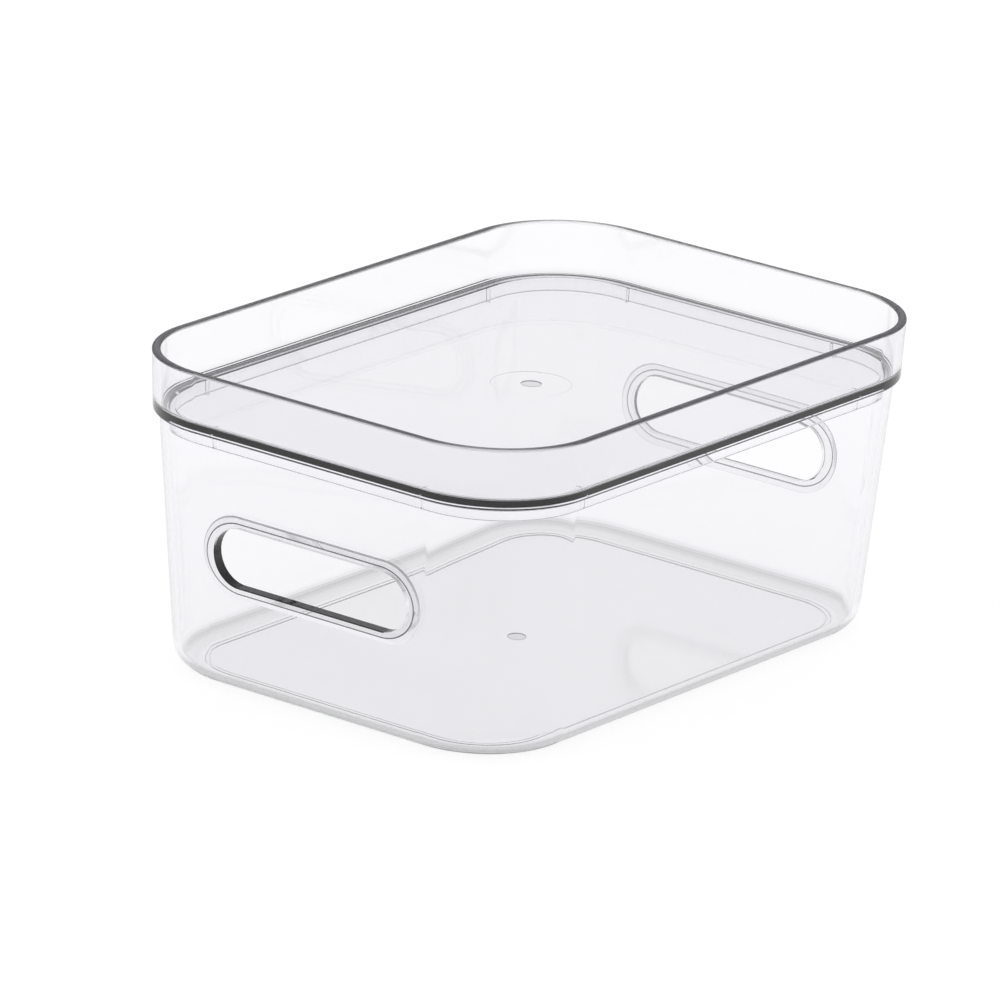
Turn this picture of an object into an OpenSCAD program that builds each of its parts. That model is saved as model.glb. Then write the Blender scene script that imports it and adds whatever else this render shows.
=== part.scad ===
// A clear moulded storage box: an open tub with a slot handle in each end wall, and a lift-off
// lid that sits on the tub's rim. Millimetres, +Z up, +X along the longer side.
// The origin is on the table under the middle of the tub.

/* [Tub] */
// Outer length of the tub at its rim
tub_l = 195; // [160:1:260]
// Outer width of the tub at its rim
tub_w = 140; // [120:1:200]
// Height of the tub, from the table to its rim
tub_h = 75; // [62:1:120]
// Corner radius of the tub in plan
tub_r = 29; // [18:1:36]
// Thickness of the tub's walls
wall_t = 2.2; // [1.6:0.1:3.4]
// Thickness of the tub's floor
floor_t = 2; // [1.6:0.1:3.4]
// How far each wall leans inwards between the rim and the table
lean = 4.7; // [1:0.1:8]
// Outer rounding between the walls and the table
heel_r = 6.8; // [4:0.2:8]
// Inner rounding between the walls and the floor
cove_r = 4.6; // [1:0.2:6]
// Rounding of the rim's two edges
rim_r = 0.5; // [0.2:0.1:0.7]

/* [Foot ring] */
// Width of the ring that the tub stands on
foot_w = 1.5; // [1:0.1:4]
// Height of the foot ring, which lifts the floor off the table
foot_h = 0.4; // [0.3:0.1:2]
// Flat left between the heel's round and the foot ring
foot_margin = 1.8; // [0.4:0.1:8]

/* [Handles] */
// Height of the handle's middle above the table
handle_z = 41.6; // [34:0.2:46]
// Height of the slot
slot_h = 17.4; // [12:0.2:22]
// Flat wall left between the bead's end and the tub's rounded corner
handle_margin = 1.3; // [0.5:0.1:15]
// Width of the raised bead round the slot
bead_w = 3.6; // [2:0.1:5]
// How far the bead stands out from the wall
bead_t = 1.4; // [0.6:0.1:1.8]
// Bevel on the bead's outer edge
bead_bevel = 1; // [0.3:0.1:1.2]
// Bevel on the slot's two edges
slot_bevel = 0.3; // [0.1:0.1:0.5]

/* [Lid] */
// Height of the lid above the tub's rim
lid_rise = 17.7; // [10:0.1:30]
// Thickness of the lid's upstanding wall
lid_wall_t = 2.4; // [1.8:0.1:3.4]
// Thickness of the lid's panel
panel_t = 2.4; // [1.6:0.1:3.4]
// How far the lid's edge stands out past the tub's rim
lid_over = 1.75; // [1:0.05:4]
// How far the lid's wall flares outwards between the panel and its own rim
lid_flare = 0.75; // [0.2:0.05:2]
// Rounding of the lid's lower outer edge
lid_edge_r = 0.9; // [0.2:0.1:1]
// Rounding of the two edges of the lid's rim
lid_rim_r = 0.7; // [0.2:0.1:0.8]
// Inner rounding between the lid's wall and its panel
tray_r = 1.2; // [0.6:0.1:4]

/* [Lid skirt] */
// Depth of the skirt that locates the lid inside the tub
skirt_h = 4; // [2:0.1:8]
// Thickness of the skirt
skirt_t = 1.8; // [1.2:0.1:3]
// Clearance between the skirt and the tub's wall
skirt_gap = 0.3; // [0.2:0.05:0.8]
// Thickness of the ribs that stiffen the skirt beside each corner
rib_t = 0.5; // [0.4:0.1:2]
// How far the ribs reach inwards from the skirt
rib_reach = 1.2; // [0.5:0.1:4]
// Distance from a corner's round to the rib on the longer side
rib_off_l = 5.6; // [0:0.2:20]
// Distance from a corner's round to the rib on the end wall
rib_off_w = 4.2; // [0:0.2:16]

/* [Gate marks] */
// Diameter of the round dimples at the moulding gates
gate_d = 6; // [3:0.5:10]
// Depth of the dimples
gate_depth = 0.4; // [0.2:0.1:0.8]
// Diameter of the shallow disc round the lid's gate
disc_d = 23; // [14:1:40]
// Depth of the disc
disc_depth = 0.1; // [0.05:0.05:0.4]

/* [Hidden] */

corner_steps = 14; // flat facets round each quarter turn in plan
round_steps = 4;   // facets round a rim or an edge
heel_steps = 7;    // facets round the tub's heel
slack = 1;         // how far a cutter runs past the face that it opens

plastic = [0.90, 0.91, 0.94, 0.45];

tilt = atan(lean / tub_h);              // lean of the tub's walls from the vertical
floor_z = foot_h + floor_t;             // top of the tub's floor
lid_z = tub_h;                          // the lid's underside rests on the tub's rim
panel_z = lid_z + panel_t;              // top of the lid's panel
top_z = lid_z + lid_rise;               // top of the lid's rim
skirt_in = wall_t + skirt_gap;          // from the tub's outer face to the skirt
bead_h = slot_h + 2 * bead_w;           // height over the bead
foot_in = heel_r + foot_margin;         // from the tub's outer face to the foot ring
bead_l = width_at(handle_z) - 2 * tub_r - 2 * handle_margin;
slot_l = bead_l - 2 * bead_w;

// How far the tub's wall has leaned in at height z, and the tub's outer width there
function lean_at(z) = lean * (1 - z / tub_h);
function width_at(z) = tub_w - 2 * lean_at(z);

// Points of a rounded rectangle, anticlockwise from +X
function outline(l, w, r) = [
    for (quarter = [0 : 3], i = [0 : corner_steps])
        let (a = 90 * quarter + 90 * i / corner_steps,
             side_x = (quarter == 0 || quarter == 3) ? 1 : -1,
             side_y = quarter < 2 ? 1 : -1)
        [side_x * (l / 2 - r) + r * cos(a), side_y * (w / 2 - r) + r * sin(a)]
];
function level(points, z) = [for (p = points) [p[0], p[1], z]];

// The tub's section is a list of [inset, z] points. A ring goes round the tub at one of them,
// inset from its outer face, which leans with z while the corners keep their radius.
function tub_ring(p) =
    let (in = lean_at(p[1]) + p[0])
    level(outline(tub_l - 2 * in, tub_w - 2 * in, tub_r - p[0]), p[1]);

// The same for the lid's upstanding wall, which flares outwards towards its rim
function lid_ring(p) =
    let (out = lid_over + lid_flare * (p[1] - lid_z) / lid_rise - p[0])
    level(outline(tub_l + 2 * out, tub_w + 2 * out, tub_r + out), p[1]);

// [inset, z] points of a quarter round of radius r about a centre, from angle a to angle b.
// Angle 0 points inwards, 90 up, 180 outwards and 270 down.
function bend(centre, r, a, b, steps = round_steps) = [
    for (i = [0 : steps])
        let (t = a + (b - a) * i / steps)
        [centre[0] + r * cos(t), centre[1] + r * sin(t)]
];

// A closed skin through rings of equally many points, capped at the first and the last
module skin(rings) {
    n = len(rings[0]);
    last = (len(rings) - 1) * n;
    polyhedron(
        points = [for (ring = rings) each ring],
        faces = concat(
            [[for (i = [0 : n - 1]) i]],
            [for (k = [0 : len(rings) - 2], i = [0 : n - 1])
                let (a = k * n, b = a + n, j = (i + 1) % n)
                each [[a + i, b + i, b + j], [a + i, b + j, a + j]]],
            [[for (i = [n - 1 : -1 : 0]) last + i]]
        )
    );
}

// From the underside, round the foot ring, up the heel and wall, over the rim and down inside
function tub_section() = concat(
    [[foot_in + foot_w, foot_h], [foot_in + foot_w, 0], [foot_in, 0], [foot_in, foot_h]],
    bend([heel_r, foot_h + heel_r], heel_r, 270, 180, heel_steps),
    bend([rim_r, tub_h - rim_r], rim_r, 180, 90),
    bend([wall_t - rim_r, tub_h - rim_r], rim_r, 90, 0),
    bend([wall_t + cove_r, floor_z + cove_r], cove_r, 180, 270, heel_steps)
);

// Puts its children on the outer face of an end wall at the handle's middle, with +Z out of
// the wall and +X down it. side is 1 for the +X wall and -1 for the other.
module on_end_wall(side) {
    rotate([0, 0, side > 0 ? 0 : 180])
        translate([tub_l / 2 - lean_at(handle_z), 0, handle_z])
            rotate([0, 90 + tilt, 0])
                children();
}

module bead() {
    root = wall_t / 2; // the bead grows from inside the wall
    skin([
        level(outline(bead_h, bead_l, bead_h / 2), -root),
        level(outline(bead_h, bead_l, bead_h / 2), bead_t - bead_bevel),
        level(outline(bead_h - 2 * bead_bevel, bead_l - 2 * bead_bevel, bead_h / 2 - bead_bevel), bead_t)
    ]);
}

// The slot is cut square to the wall, and flares a little at both of its faces
module slot_cutter() {
    flared = slot_bevel + slack;
    function slot(grow, z) = level(outline(slot_h + 2 * grow, slot_l + 2 * grow, slot_h / 2 + grow), z);
    skin([
        slot(flared, -wall_t - slack),
        slot(0, -wall_t + slot_bevel),
        slot(0, bead_t - slot_bevel),
        slot(flared, bead_t + slack)
    ]);
}

module tub() {
    color(plastic)
        difference() {
            union() {
                skin([for (p = tub_section()) tub_ring(p)]);
                for (side = [-1, 1]) on_end_wall(side) bead();
            }
            for (side = [-1, 1]) on_end_wall(side) slot_cutter();
            translate([0, 0, foot_h - slack])
                cylinder(d = gate_d, h = gate_depth + slack, $fn = 48);
        }
}

// The skirt hangs from the panel, so its rings follow the tub's inner face
function skirt_section() = concat(
    [[skirt_in + skirt_t, lid_z]],
    [[skirt_in + skirt_t, lid_z - skirt_h]],
    [[skirt_in, lid_z - skirt_h]],
    [[skirt_in, lid_z]]
);

// From the lid's seat, round its lower edge, up the wall, over the rim and down to the panel
function lid_section() = concat(
    bend([lid_edge_r, lid_z + lid_edge_r], lid_edge_r, 270, 180),
    bend([lid_rim_r, top_z - lid_rim_r], lid_rim_r, 180, 90),
    bend([lid_wall_t - lid_rim_r, top_z - lid_rim_r], lid_rim_r, 90, 0),
    bend([lid_wall_t + tray_r, panel_z + tray_r], tray_r, 180, 270)
);

// One rib on each side of each corner, a little way along the skirt's straight side
module skirt_ribs() {
    in = skirt_in + skirt_t / 2 + lean_at(lid_z - skirt_h);
    reach = skirt_t / 2 + rib_reach;
    half_l = tub_l / 2 - in;
    half_w = tub_w / 2 - in;
    rib_x = tub_l / 2 - tub_r - rib_off_l;
    rib_y = tub_w / 2 - tub_r - rib_off_w;
    rib_z = lid_z - skirt_h / 2 + panel_t / 4;
    for (x = [-1, 1], y = [-1, 1]) {
        translate([x * (half_l - reach / 2), y * rib_y, rib_z])
            cube([reach, rib_t, skirt_h + panel_t / 2], center = true);
        translate([x * rib_x, y * (half_w - reach / 2), rib_z])
            cube([rib_t, reach, skirt_h + panel_t / 2], center = true);
    }
}

module lid() {
    color(plastic)
        difference() {
            union() {
                skin(concat(
                    [for (p = skirt_section()) tub_ring(p)],
                    [for (p = lid_section()) lid_ring(p)]
                ));
                skirt_ribs();
            }
            translate([0, 0, lid_z - slack])
                cylinder(d = gate_d, h = disc_depth + gate_depth + slack, $fn = 48);
            translate([0, 0, lid_z - slack])
                cylinder(d = disc_d, h = disc_depth + slack, $fn = 96);
        }
}

tub();
lid();
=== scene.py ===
import math

import bmesh
import bpy
from mathutils import Matrix, Vector


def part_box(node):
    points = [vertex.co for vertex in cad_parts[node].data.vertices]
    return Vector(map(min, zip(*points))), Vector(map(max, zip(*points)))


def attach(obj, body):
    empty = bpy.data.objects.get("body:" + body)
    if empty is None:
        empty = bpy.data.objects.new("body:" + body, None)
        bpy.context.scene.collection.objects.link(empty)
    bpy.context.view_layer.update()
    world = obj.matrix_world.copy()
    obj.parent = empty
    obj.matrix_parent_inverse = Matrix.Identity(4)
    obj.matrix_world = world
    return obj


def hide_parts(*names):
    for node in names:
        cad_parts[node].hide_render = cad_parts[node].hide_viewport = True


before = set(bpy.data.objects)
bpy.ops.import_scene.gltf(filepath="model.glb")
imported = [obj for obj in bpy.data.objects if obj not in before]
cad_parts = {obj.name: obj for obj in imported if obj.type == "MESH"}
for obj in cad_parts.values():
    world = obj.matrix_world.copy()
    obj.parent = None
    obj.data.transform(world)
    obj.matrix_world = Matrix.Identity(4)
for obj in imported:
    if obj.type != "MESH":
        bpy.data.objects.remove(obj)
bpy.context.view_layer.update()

mm = 0.001
tiny = 0.01 * mm
corners = [(-1, -1), (1, -1), (1, 1), (-1, 1)]  # the sign of x and y at each corner
print("Frame loaded")


# Modelling steps that both mouldings use

def startBlock(name, low, high):
    # a cube at its size and place, left open in edit mode
    if bpy.context.object and bpy.context.object.mode == "EDIT":
        bpy.ops.object.mode_set(mode="OBJECT")
    bpy.ops.object.select_all(action="DESELECT")
    low, high = Vector(low), Vector(high)
    bpy.ops.mesh.primitive_cube_add(size=1, location=(low + high) / 2)
    block = bpy.context.object
    block.name = name
    block.scale = high - low
    bpy.ops.object.transform_apply(location=True, rotation=True, scale=True)
    bpy.ops.object.mode_set(mode="EDIT")
    return block


def pick(kind, test):
    # selects the vertices, edges or faces of the piece in edit mode that pass the test
    bpy.ops.mesh.select_mode(type=kind)
    bpy.ops.mesh.select_all(action="DESELECT")
    mesh = bmesh.from_edit_mesh(bpy.context.object.data)
    parts = {"VERT": mesh.verts, "EDGE": mesh.edges, "FACE": mesh.faces}[kind]
    chosen = [part for part in parts if test(part)]
    for part in chosen:
        part.select_set(True)
    mesh.select_flush_mode()
    bmesh.update_edit_mesh(bpy.context.object.data)
    return len(chosen)


def upright(edge):
    a, b = edge.verts
    return (a.co.xy - b.co.xy).length < tiny and abs(a.co.z - b.co.z) > tiny


def atLevel(part, z):
    return all(abs(v.co.z - z) < tiny for v in part.verts)


def foldedAt(edge, z, least=0.5):
    # an edge that lies at height z, where two faces meet at a clear angle
    return atLevel(edge, z) and len(edge.link_faces) == 2 and edge.calc_face_angle() > least


def roundOff(radius, steps):
    bpy.ops.mesh.bevel(offset=radius, offset_type="OFFSET", segments=steps, profile=0.5,
                       affect="EDGES", clamp_overlap=False)


def cornerAt(v, z, side):
    return abs(v.co.z - z) < tiny and v.co.x * side[0] > 0 and v.co.y * side[1] > 0


def leanIn(z, distance):
    # moves the whole outline at height z inwards and keeps its corner radius
    for side in corners:
        pick("VERT", lambda v: cornerAt(v, z, side))
        bpy.ops.transform.translate(value=(-side[0] * distance, -side[1] * distance, 0))


def flareOut(z, centre, oldRadius, newRadius):
    # spreads the outline at height z, each corner about the centre of its own round
    grow = newRadius / oldRadius
    for side in corners:
        middle = (side[0] * centre[0], side[1] * centre[1], z)
        pick("VERT", lambda v: cornerAt(v, z, side))
        bpy.ops.transform.resize(value=(grow, grow, 1), center_override=middle)


def copyOf(piece):
    twin = piece.copy()
    twin.data = piece.data.copy()
    bpy.context.collection.objects.link(twin)
    return twin


def carve(piece, tool, how):
    # joins a tool to the piece or cuts it away, and clears the tool off the bench
    bpy.ops.object.select_all(action="DESELECT")
    bpy.context.view_layer.objects.active = piece
    piece.select_set(True)
    cut = piece.modifiers.new("Carve", "BOOLEAN")
    cut.operation = how
    cut.solver = "EXACT"
    cut.object = tool
    bpy.ops.object.modifier_apply(modifier=cut.name)
    bpy.data.objects.remove(tool)


def polish(piece, angle=35):
    # smooth shading that keeps the flat walls flat, so that they don't bend what is seen through
    bpy.ops.object.select_all(action="DESELECT")
    bpy.context.view_layer.objects.active = piece
    piece.select_set(True)
    bpy.ops.object.shade_smooth_by_angle(angle=math.radians(angle))
    weigh = piece.modifiers.new("Weigh", "WEIGHTED_NORMAL")
    weigh.keep_sharp = True
    weigh.weight = 80
    bpy.ops.object.modifier_apply(modifier=weigh.name)


# The tub

tubLow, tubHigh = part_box("tub")
lidLow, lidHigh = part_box("lid")

tubSize = dict(
    length=tubHigh.x - tubLow.x,
    width=tubHigh.y - tubLow.y,
    height=tubHigh.z - 0.05 * mm,   # a hair of air under the lid, where two polished faces meet
    cornerRadius=29 * mm,
    cornerSteps=32,
    lean=4.7 * mm,                  # how far the walls come in between the rim and the table
    wall=2.2 * mm,
    floorTop=2.4 * mm,
    heelRadius=6.8 * mm,
    heelSteps=12,
    coveRadius=4.6 * mm,
    coveSteps=10,
    rimRadius=0.5 * mm,
    rimSteps=4,
    footInset=8.6 * mm,             # from the outer face in to the foot ring
    footWidth=1.5 * mm,
    footHeight=0.4 * mm,
    footRound=0.12 * mm,
)

handleSize = dict(
    height=41.6 * mm,               # of its middle above the table
    slotLength=68.0 * mm,
    slotHeight=17.4 * mm,
    beadBase=(24.4 * mm, 76.6 * mm),     # height and length of the bead at the wall
    beadCrest=(20.8 * mm, 73.2 * mm),    # and where its slope ends
    beadStep=0.25 * mm,
    beadFoot=(0.4 * mm, 0.2 * mm),       # the soft foot of its slope, in and up
    beadDepth=0.85 * mm,
    crestRound=0.2 * mm,
    slotRound=0.25 * mm,
    endSteps=24,
)

gateSize = dict(
    diameter=6 * mm,
    depth=0.4 * mm,
    edgeRound=0.15 * mm,
    steps=48,
)


def leanAt(z):
    return tubSize["lean"] * (1 - z / tubHigh.z)


def onRing(face, centre, inner, outer):
    # whether a face lies between two outlines, given the centre of their round at a corner
    middle = face.calc_center_median()
    out = Vector((max(abs(middle.x) - centre[0], 0), max(abs(middle.y) - centre[1], 0))).length
    return inner < out < outer and len(face.verts) == 4


def makeTubShell():
    t = tubSize
    half = Vector((t["length"] / 2, t["width"] / 2, 0))
    under = t["footHeight"]
    tub = startBlock("tubShell", -half + Vector((0, 0, under)), half + Vector((0, 0, t["height"])))
    pick("EDGE", upright)
    roundOff(t["cornerRadius"], t["cornerSteps"])
    leanIn(under, leanAt(under))
    leanIn(t["height"], leanAt(t["height"]))

    # underside: the heel, then the narrow ring that the tub stands on
    pick("EDGE", lambda e: foldedAt(e, under))
    roundOff(t["heelRadius"], t["heelSteps"])
    pick("FACE", lambda f: atLevel(f, under) and f.normal.z < -0.9)
    bpy.ops.mesh.inset(thickness=t["footInset"] - t["heelRadius"], depth=0)
    bpy.ops.mesh.inset(thickness=t["footWidth"], depth=0)
    centre = (half.x - leanAt(under) - t["cornerRadius"], half.y - leanAt(under) - t["cornerRadius"])
    outer = t["cornerRadius"] - t["footInset"]
    pick("FACE", lambda f: atLevel(f, under) and onRing(f, centre, outer - t["footWidth"], outer))
    bpy.ops.mesh.extrude_region_move(TRANSFORM_OT_translate={"value": (0, 0, -under)})
    pick("EDGE", lambda e: foldedAt(e, 0))
    roundOff(t["footRound"], 2)

    # inside: the wall's thickness, the drop to the floor and the cove between them
    pick("FACE", lambda f: atLevel(f, t["height"]) and f.normal.z > 0.9)
    bpy.ops.mesh.inset(thickness=t["wall"], depth=0)
    drop = t["height"] - t["floorTop"]
    bpy.ops.mesh.extrude_region_move(TRANSFORM_OT_translate={"value": (0, 0, -drop)})
    leanIn(t["floorTop"], leanAt(t["floorTop"]) - leanAt(t["height"]))
    pick("EDGE", lambda e: foldedAt(e, t["floorTop"]))
    roundOff(t["coveRadius"], t["coveSteps"])
    pick("EDGE", lambda e: foldedAt(e, t["height"]))
    roundOff(t["rimRadius"], t["rimSteps"])
    bpy.ops.object.mode_set(mode="OBJECT")
    return tub


def stadium(name, length, height, low, high):
    # a block with two half-round ends, thick along z between low and high
    h = handleSize
    half = Vector((height / 2, length / 2, 0))
    block = startBlock(name, -half + Vector((0, 0, low)), half + Vector((0, 0, high)))
    pick("EDGE", upright)
    roundOff(height / 2 - tiny, h["endSteps"])
    return block


def ontoEndWall(piece, side):
    # from lying flat about the origin to its place on an end wall, facing out
    h = handleSize
    tilt = math.atan(tubSize["lean"] / tubHigh.z)
    outwards = Matrix.Rotation(math.pi / 2 + tilt, 4, "Y")
    place = Matrix.Translation((tubHigh.x - leanAt(h["height"]), 0, h["height"]))
    turn = Matrix.Rotation(0 if side > 0 else math.pi, 4, "Z")
    piece.data.transform(turn @ place @ outwards)


def makeHandle():
    h = handleSize
    baseHeight, baseLength = h["beadBase"]
    crestHeight, crestLength = h["beadCrest"]
    bead = stadium("bead", baseLength, baseHeight, -tubSize["wall"] / 2, h["beadStep"])
    pick("FACE", lambda f: atLevel(f, h["beadStep"]))
    footIn, footUp = h["beadFoot"]
    footHeight, footLength = baseHeight - 2 * footIn, baseLength - 2 * footIn
    bpy.ops.mesh.extrude_region_move(TRANSFORM_OT_translate={"value": (0, 0, footUp)})
    bpy.ops.transform.resize(value=(footHeight / baseHeight, footLength / baseLength, 1),
                             center_override=(0, 0, 0))
    rise = h["beadDepth"] - h["beadStep"] - footUp
    bpy.ops.mesh.extrude_region_move(TRANSFORM_OT_translate={"value": (0, 0, rise)})
    bpy.ops.transform.resize(value=(crestHeight / footHeight, crestLength / footLength, 1),
                             center_override=(0, 0, 0))
    pick("EDGE", lambda e: foldedAt(e, h["beadDepth"], 0.2))
    roundOff(h["crestRound"], 2)
    bpy.ops.object.mode_set(mode="OBJECT")

    # the slot's cutter flares where it leaves the bead, so the slot's outer edge is softened
    reach = 2 * mm
    slot = stadium("slot", h["slotLength"], h["slotHeight"], -tubSize["wall"] - reach,
                   h["beadDepth"] - h["slotRound"])
    pick("FACE", lambda f: atLevel(f, h["beadDepth"] - h["slotRound"]) and f.normal.z > 0.9)
    bpy.ops.mesh.extrude_region_move(TRANSFORM_OT_translate={"value": (0, 0, reach)})
    grow = 2 * reach
    bpy.ops.transform.resize(value=(1 + grow / h["slotHeight"], 1 + grow / h["slotLength"], 1),
                             center_override=(0, 0, 0))
    bpy.ops.object.mode_set(mode="OBJECT")
    return bead, slot


def makeDimple(name, size, top, bottom):
    # a round cutter that leaves a dimple with a soft edge
    bpy.ops.object.select_all(action="DESELECT")
    middle = (0, 0, (top + bottom) / 2)
    bpy.ops.mesh.primitive_cylinder_add(vertices=size["steps"], radius=size["diameter"] / 2,
                                        depth=abs(top - bottom), location=middle)
    cutter = bpy.context.object
    cutter.name = name
    bpy.ops.object.transform_apply(location=True, rotation=True, scale=True)
    bpy.ops.object.mode_set(mode="EDIT")
    pick("EDGE", lambda e: foldedAt(e, bottom))
    roundOff(size["edgeRound"], 3)
    bpy.ops.object.mode_set(mode="OBJECT")
    return cutter


paintedShadeTones = dict(               # painted shade along the edges, standing in for the dark lines that refraction and the table's contact shadow draw there, 0 to 1
    ring=0.8,
    heel=((12, 0.0), (26, 0.2), (38, 0.6), (48, 0.5), (60, 0.25), (90, 0.15)),  # by the angle round it
    beadFoot=(0.15, 0.8),       # facing down and facing up
    crest=1,
    bead=0.13,
    rim=0.5,
    seat=0.3,
    gate=(0.4, 1.0),            # its flat and its side
)


def gatePaintedShade(face, under):
    # how much painted shade a face of a gate's dimple gets, and 0 elsewhere; the dimple starts at height under
    out = math.hypot(face.center.x, face.center.y)
    inside = out < gateSize["diameter"] / 2 + 0.05 * mm
    if not inside or not under + tiny < face.center.z < under + gateSize["depth"] + tiny:
        return 0.0
    flat, side = paintedShadeTones["gate"]
    return flat if abs(face.normal.z) > 0.9 else side


def tubPaintedShade(face):
    # how much painted shade one face of the tub gets: shade is painted on the gate, the foot ring, the heel where
    # the table's contact shadow would show through, the rim and the handle's edges
    t, h = tubSize, handleSize
    x, y, z = abs(face.center.x), abs(face.center.y), face.center.z
    gate = gatePaintedShade(face, t["footHeight"])
    if gate > 0:
        return gate
    lean = leanAt(z)
    centre = (t["length"] / 2 - t["cornerRadius"] - lean, t["width"] / 2 - t["cornerRadius"] - lean)
    inset = t["cornerRadius"] - math.hypot(max(x - centre[0], 0), max(y - centre[1], 0))
    if 0.001 * mm < z < t["footHeight"] - 0.001 * mm and inset > t["footInset"] - 0.5 * mm:
        return paintedShadeTones["ring"]
    fromHeel = math.hypot(inset - t["heelRadius"], z - t["footHeight"] - t["heelRadius"])
    if z < t["footHeight"] + t["heelRadius"] and inset < t["heelRadius"] and fromHeel > t["heelRadius"] - 0.3 * mm:
        angle = math.degrees(math.atan2(t["footHeight"] + t["heelRadius"] - z, t["heelRadius"] - inset))
        stops = paintedShadeTones["heel"]
        for (a, toneA), (b, toneB) in zip(stops, stops[1:]):
            if a <= angle <= b:
                return toneA + (toneB - toneA) * (angle - a) / (b - a)
        return 0.0
    if z > t["height"] - 0.9 * t["rimRadius"] and inset < 0.9 * t["rimRadius"]:
        return paintedShadeTones["rim"]
    # out of the end wall's plane: only the bead stands there
    tilt = math.atan(t["lean"] / tubHigh.z)
    stands = (x - t["length"] / 2 + lean) * math.cos(tilt)
    if y < h["beadBase"][1] / 2 + 0.5 * mm and abs(z - h["height"]) < h["beadBase"][0] and stands > 0.01 * mm:
        if stands < h["beadStep"] + h["beadFoot"][1] - 0.01 * mm and abs(face.normal.x) < 0.97:
            low, high = paintedShadeTones["beadFoot"]
            return low + (high - low) * min(max(0.5 + 2 * face.normal.z, 0), 1)
        if h["beadDepth"] - h["crestRound"] < stands < h["beadDepth"] - 0.004 * mm and abs(face.normal.x) > 0.93:
            return paintedShadeTones["crest"]
        if abs(face.normal.x) > 0.5:
            return paintedShadeTones["bead"]
    return 0.0


def markFaces(piece, name, value):
    mark = piece.data.attributes.new(name, "FLOAT", "FACE")
    mark.data.foreach_set("value", [value(face) for face in piece.data.polygons])


def tubDull(face):
    # the tub's floor is a little less polished than its walls
    return 0.08 if face.normal.z > 0.98 and abs(face.center.z - tubSize["floorTop"]) < 0.05 * mm else 0.0


def lidDull(face):
    # so is the lid's rim
    return 0.6 if face.center.z > lidHigh.z - 0.9 * lidSize["rimRound"] else 0.0


def makeTub():
    tub = makeTubShell()
    bead, slot = makeHandle()
    for side in (1, -1):
        thisBead, thisSlot = copyOf(bead), copyOf(slot)
        ontoEndWall(thisBead, side)
        ontoEndWall(thisSlot, side)
        carve(tub, thisBead, "UNION")
        carve(tub, thisSlot, "DIFFERENCE")
    bpy.data.objects.remove(bead)
    bpy.data.objects.remove(slot)
    under = tubSize["footHeight"]
    carve(tub, makeDimple("gate", gateSize, under - 0.3 * mm, under + gateSize["depth"]), "DIFFERENCE")
    polish(tub)
    # painted shade on the tub's gate, foot ring, heel, rim and handle edges
    markFaces(tub, "paintedEdgeShade", tubPaintedShade)
    markFaces(tub, "dull", tubDull)
    return tub


# The lid

lidSize = dict(
    base=tubHigh.z,
    over=1.75 * mm,                 # how far the lid's edge stands out past the tub's rim
    flare=0.75 * mm,                # how far its wall leans out between its base and its rim
    wall=2.4 * mm,
    panel=2.4 * mm,
    edgeRound=0.9 * mm,
    rimRound=0.7 * mm,
    trayRound=1.2 * mm,
    roundSteps=5,
)

skirtSize = dict(
    depth=4 * mm,
    thickness=1.8 * mm,
    gap=0.3 * mm,
    edgeRound=0.25 * mm,
    ribThickness=0.5 * mm,
    ribReach=1.2 * mm,
    ribPlace=(5.6 * mm, 4.2 * mm),  # from the tub's corner round, on a long side and an end wall
)

discSize = dict(
    diameter=23 * mm,
    depth=0.1 * mm,
    edgeRound=0.08 * mm,
    steps=96,
)


def makeLidShell():
    k, s = lidSize, skirtSize
    base, top = k["base"], lidHigh.z
    centre = (tubSize["length"] / 2 - tubSize["cornerRadius"], tubSize["width"] / 2 - tubSize["cornerRadius"])
    baseRadius = tubSize["cornerRadius"] + k["over"]
    topRadius = baseRadius + k["flare"]
    panelTop = base + k["panel"]
    panelRadius = baseRadius + k["flare"] * k["panel"] / (top - base) - k["wall"]

    low = Vector((-centre[0] - baseRadius, -centre[1] - baseRadius, base))
    lid = startBlock("lidShell", low, (-low.x, -low.y, top))
    pick("EDGE", upright)
    roundOff(baseRadius, tubSize["cornerSteps"])
    flareOut(top, centre, baseRadius, topRadius)

    # the tray: the wall's thickness, the drop to the panel and the round between them
    pick("FACE", lambda f: atLevel(f, top) and f.normal.z > 0.9)
    bpy.ops.mesh.inset(thickness=k["wall"], depth=0)
    bpy.ops.mesh.extrude_region_move(TRANSFORM_OT_translate={"value": (0, 0, panelTop - top)})
    flareOut(panelTop, centre, topRadius - k["wall"], panelRadius)
    pick("EDGE", lambda e: foldedAt(e, panelTop))
    roundOff(k["trayRound"], k["roundSteps"])
    pick("EDGE", lambda e: foldedAt(e, top))
    roundOff(k["rimRound"], k["roundSteps"])

    # underneath: the seat, the skirt that hangs inside the tub, and its soft lower edges
    pick("EDGE", lambda e: foldedAt(e, base))
    roundOff(k["edgeRound"], k["roundSteps"])
    pick("FACE", lambda f: atLevel(f, base) and f.normal.z < -0.9)
    seat = k["over"] + tubSize["wall"] + s["gap"] - k["edgeRound"]
    bpy.ops.mesh.inset(thickness=seat, depth=0)
    outer = tubSize["cornerRadius"] - tubSize["wall"] - s["gap"]
    bpy.ops.mesh.inset(thickness=s["thickness"], depth=0)
    pick("FACE", lambda f: atLevel(f, base) and onRing(f, centre, outer - s["thickness"], outer))
    bpy.ops.mesh.extrude_region_move(TRANSFORM_OT_translate={"value": (0, 0, -s["depth"])})
    leanIn(base - s["depth"], leanAt(base - s["depth"]))
    pick("EDGE", lambda e: foldedAt(e, base - s["depth"]))
    roundOff(s["edgeRound"], 3)
    bpy.ops.object.mode_set(mode="OBJECT")
    return lid


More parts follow.
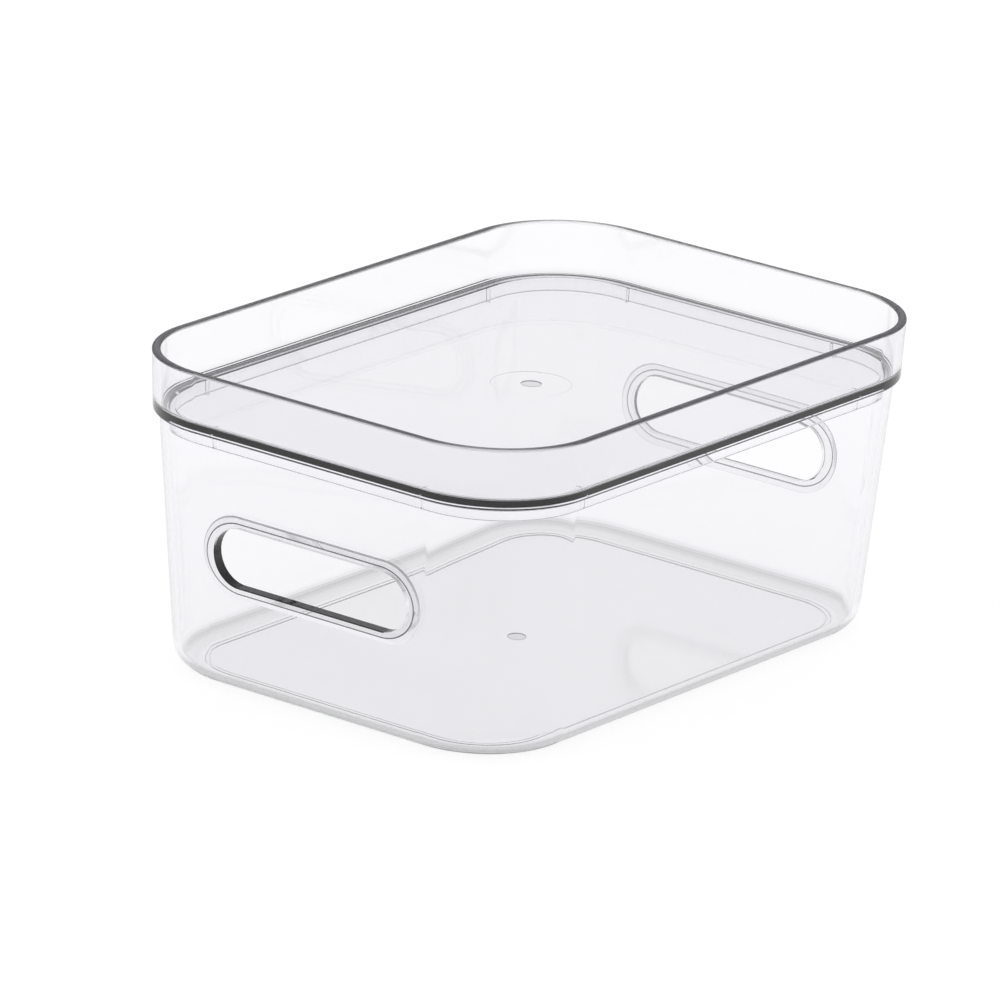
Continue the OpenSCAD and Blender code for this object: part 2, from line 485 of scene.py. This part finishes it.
def makeRib():
    # one rib, lying across the skirt at the origin and running inwards along -y
    k, s = lidSize, skirtSize
    reach = s["thickness"] / 2 + s["ribReach"]
    rib = startBlock("rib", (-s["ribThickness"] / 2, -reach, -s["depth"]),
                     (s["ribThickness"] / 2, 0, k["panel"] / 2))
    pick("EDGE", lambda e: e.verts[0].co.y < -reach + tiny and e.verts[1].co.y < -reach + tiny)
    roundOff(0.2 * mm, 2)
    bpy.ops.object.mode_set(mode="OBJECT")
    return rib


def addRibs(lid):
    # two ribs at each corner, a little way along the skirt's straight sides
    k, s = lidSize, skirtSize
    rib = makeRib()
    inset = tubSize["wall"] + s["gap"] + s["thickness"] / 2 + leanAt(k["base"] - s["depth"])
    middle = Vector((tubSize["length"] / 2 - tubSize["cornerRadius"] - s["ribPlace"][0],
                     tubSize["width"] / 2 - tubSize["cornerRadius"] - s["ribPlace"][1]))
    edge = Vector((tubSize["length"] / 2 - inset, tubSize["width"] / 2 - inset))
    for x, y in corners:
        for spot, turn in (((x * middle.x, y * edge.y), 0 if y > 0 else math.pi),
                           ((x * edge.x, y * middle.y), -x * math.pi / 2)):
            one = copyOf(rib)
            one.data.transform(Matrix.Translation((*spot, k["base"])) @ Matrix.Rotation(turn, 4, "Z"))
            carve(lid, one, "UNION")
    bpy.data.objects.remove(rib)


def lidPaintedShade(face):
    # how much painted shade one face of the lid gets: shade is painted on its gate and on its seat on the tub's
    # rim, where the joint looks dark
    gate = gatePaintedShade(face, lidSize["base"] + discSize["depth"])
    if gate > 0:
        return gate
    flat = face.normal.z < -0.9 and abs(face.center.z - lidSize["base"]) < tiny
    x, y = abs(face.center.x), abs(face.center.y)
    centre = (tubSize["length"] / 2 - tubSize["cornerRadius"], tubSize["width"] / 2 - tubSize["cornerRadius"])
    out = math.hypot(max(x - centre[0], 0), max(y - centre[1], 0))
    onSeat = flat and out > tubSize["cornerRadius"] - tubSize["wall"] - skirtSize["gap"]
    return paintedShadeTones["seat"] if onSeat else 0.0


def makeLid():
    lid = makeLidShell()
    addRibs(lid)
    base = lidSize["base"]
    carve(lid, makeDimple("disc", discSize, base - 1 * mm, base + discSize["depth"]), "DIFFERENCE")
    deep = discSize["depth"] + gateSize["depth"]
    carve(lid, makeDimple("gate", gateSize, base - 1 * mm, base + deep), "DIFFERENCE")
    polish(lid)
    # painted shade on the lid's gate and its seat on the tub's rim
    markFaces(lid, "paintedEdgeShade", lidPaintedShade)
    markFaces(lid, "dull", lidDull)
    return lid


# Clear plastic

plasticLook = dict(
    ior=1.57,
    tint=(0.995, 0.994, 0.998, 1),
    paintedShadeTint=(0.03, 0.03, 0.032, 1),  # the colour of the painted shade along the edges
    throughColour=(0.80, 0.792, 0.838, 1),
    tubDensity=80,                  # per metre, on the colour above
    lidDensity=95,
    roughness=(0.0, 0.02),
)


def makePlastic(name, seed, density):
    p = plasticLook
    material = bpy.data.materials.new(name)
    material.use_nodes = True
    tree = material.node_tree
    shader = tree.nodes["Principled BSDF"]
    output = tree.nodes["Material Output"]
    # painted shade: the marked faces turn from the clear tint toward the dark shade tint
    shade = tree.nodes.new("ShaderNodeAttribute")
    shade.attribute_name = "paintedEdgeShade"
    paintedShadeMix = tree.nodes.new("ShaderNodeMix")
    paintedShadeMix.data_type = "RGBA"
    paintedShadeMix.inputs[6].default_value = p["tint"]
    paintedShadeMix.inputs[7].default_value = p["paintedShadeTint"]
    tree.links.new(shade.outputs["Fac"], paintedShadeMix.inputs[0])
    tree.links.new(paintedShadeMix.outputs[2], shader.inputs["Base Color"])
    shader.inputs["IOR"].default_value = p["ior"]
    shader.inputs["Transmission Weight"].default_value = 1
    place = tree.nodes.new("ShaderNodeTexCoord")
    shift = tree.nodes.new("ShaderNodeMapping")
    shift.inputs["Location"].default_value = (seed, 2 * seed, 3 * seed)
    tree.links.new(place.outputs["Object"], shift.inputs["Vector"])

    # faint handling haze in the polish
    haze = tree.nodes.new("ShaderNodeTexNoise")
    haze.inputs["Scale"].default_value = 45
    haze.inputs["Detail"].default_value = 5
    spread = tree.nodes.new("ShaderNodeMapRange")
    spread.inputs["From Min"].default_value = 0.5
    spread.inputs["From Max"].default_value = 0.8
    spread.inputs["To Min"].default_value = p["roughness"][0]
    spread.inputs["To Max"].default_value = p["roughness"][1]
    tree.links.new(shift.outputs["Vector"], haze.inputs["Vector"])
    tree.links.new(haze.outputs["Fac"], spread.inputs["Value"])
    dull = tree.nodes.new("ShaderNodeAttribute")
    dull.attribute_name = "dull"
    rougher = tree.nodes.new("ShaderNodeMath")
    rougher.operation = "MAXIMUM"
    tree.links.new(spread.outputs["Result"], rougher.inputs[0])
    tree.links.new(dull.outputs["Fac"], rougher.inputs[1])
    tree.links.new(rougher.outputs["Value"], shader.inputs["Roughness"])

    # long soft waves where the plastic shrank as it cooled
    waves = tree.nodes.new("ShaderNodeTexNoise")
    waves.inputs["Scale"].default_value = 30
    waves.inputs["Detail"].default_value = 1
    bump = tree.nodes.new("ShaderNodeBump")
    bump.inputs["Strength"].default_value = 0.04
    bump.inputs["Distance"].default_value = 0.1 * mm
    tree.links.new(shift.outputs["Vector"], waves.inputs["Vector"])
    tree.links.new(waves.outputs["Fac"], bump.inputs["Height"])
    tree.links.new(bump.outputs["Normal"], shader.inputs["Normal"])

    # the thicker the plastic that light passes, the greyer it looks
    through = tree.nodes.new("ShaderNodeVolumeAbsorption")
    through.inputs["Color"].default_value = p["throughColour"]
    through.inputs["Density"].default_value = density
    tree.links.new(through.outputs["Volume"], output.inputs["Volume"])
    return material


tub = makeTub()
tub.data.materials.clear()
tub.data.materials.append(makePlastic("tubPlastic", 0.3, plasticLook["tubDensity"]))
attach(tub, "tub")
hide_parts("tub")
print("Tub made,", len(tub.data.polygons), "faces")

lid = makeLid()
lid.data.materials.clear()
lid.data.materials.append(makePlastic("lidPlastic", 0.7, plasticLook["lidDensity"]))
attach(lid, "lid")
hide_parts("lid")
print("Lid made,", len(lid.data.polygons), "faces")


# Floor and light

stageLook = dict(
    floorSize=12.0,
    floorDrop=0.05 * mm,
    floorColour=(0.36, 0.36, 0.36, 1),
    floorGlow=0.85,
    horizon=(1.0, 1.0, 1.0, 1),
    middle=(0.75, 0.75, 0.76, 1),
    ceiling=(0.35, 0.35, 0.36, 1),
)


def makeFloor():
    bpy.ops.object.select_all(action="DESELECT")
    bpy.ops.mesh.primitive_plane_add(size=stageLook["floorSize"], location=(0, 0, -stageLook["floorDrop"]))
    floor = bpy.context.object
    floor.name = "floor"
    material = bpy.data.materials.new("paleFloor")
    material.use_nodes = True
    shader = material.node_tree.nodes["Principled BSDF"]
    shader.inputs["Base Color"].default_value = stageLook["floorColour"]
    shader.inputs["Roughness"].default_value = 1
    shader.inputs["Specular IOR Level"].default_value = 0
    shader.inputs["Emission Color"].default_value = (1, 1, 1, 1)
    shader.inputs["Emission Strength"].default_value = stageLook["floorGlow"]
    floor.data.materials.append(material)


def makeSky():
    # white at the horizon, greyer overhead, the same all the way round
    world = bpy.data.worlds.new("studio")
    bpy.context.scene.world = world
    world.use_nodes = True
    tree = world.node_tree
    background = tree.nodes["Background"]
    direction = tree.nodes.new("ShaderNodeTexCoord")
    split = tree.nodes.new("ShaderNodeSeparateXYZ")
    ramp = tree.nodes.new("ShaderNodeValToRGB")
    ramp.color_ramp.elements[0].position = 0.0
    ramp.color_ramp.elements[0].color = stageLook["horizon"]
    ramp.color_ramp.elements[1].position = 0.9
    ramp.color_ramp.elements[1].color = stageLook["ceiling"]
    middle = ramp.color_ramp.elements.new(0.45)
    middle.color = stageLook["middle"]
    tree.links.new(direction.outputs["Generated"], split.inputs["Vector"])
    tree.links.new(split.outputs["Z"], ramp.inputs["Fac"])
    tree.links.new(ramp.outputs["Color"], background.inputs["Color"])


makeFloor()
makeSky()
print("Floor and light made")


# Camera

cameraSpot = dict(
    azimuth=-52.552,
    elevation=18.272,
    roll=2.579,
    distance=2520.34 * mm,
    aim=(-4.187 * mm, 5.978 * mm, 41.941 * mm),
    lens=321.385,
    sensor=36,
)


def makeCamera():
    c = cameraSpot
    azimuth, elevation = math.radians(c["azimuth"]), math.radians(c["elevation"])
    back = Vector((math.sin(azimuth) * math.cos(elevation),
                   -math.cos(azimuth) * math.cos(elevation),
                   math.sin(elevation)))
    camera = bpy.data.objects.new("camera", bpy.data.cameras.new("camera"))
    bpy.context.collection.objects.link(camera)
    camera.data.lens = c["lens"]
    camera.data.sensor_width = c["sensor"]
    camera.data.clip_start = 0.1
    camera.data.clip_end = 50
    turn = back.to_track_quat("Z", "Y").to_matrix().to_4x4()
    place = Matrix.Translation(Vector(c["aim"]) + back * c["distance"])
    camera.matrix_world = place @ turn @ Matrix.Rotation(math.radians(c["roll"]), 4, "Z")
    bpy.context.scene.camera = camera


makeCamera()
bpy.context.scene.view_settings.view_transform = "Standard"
print("Camera placed")
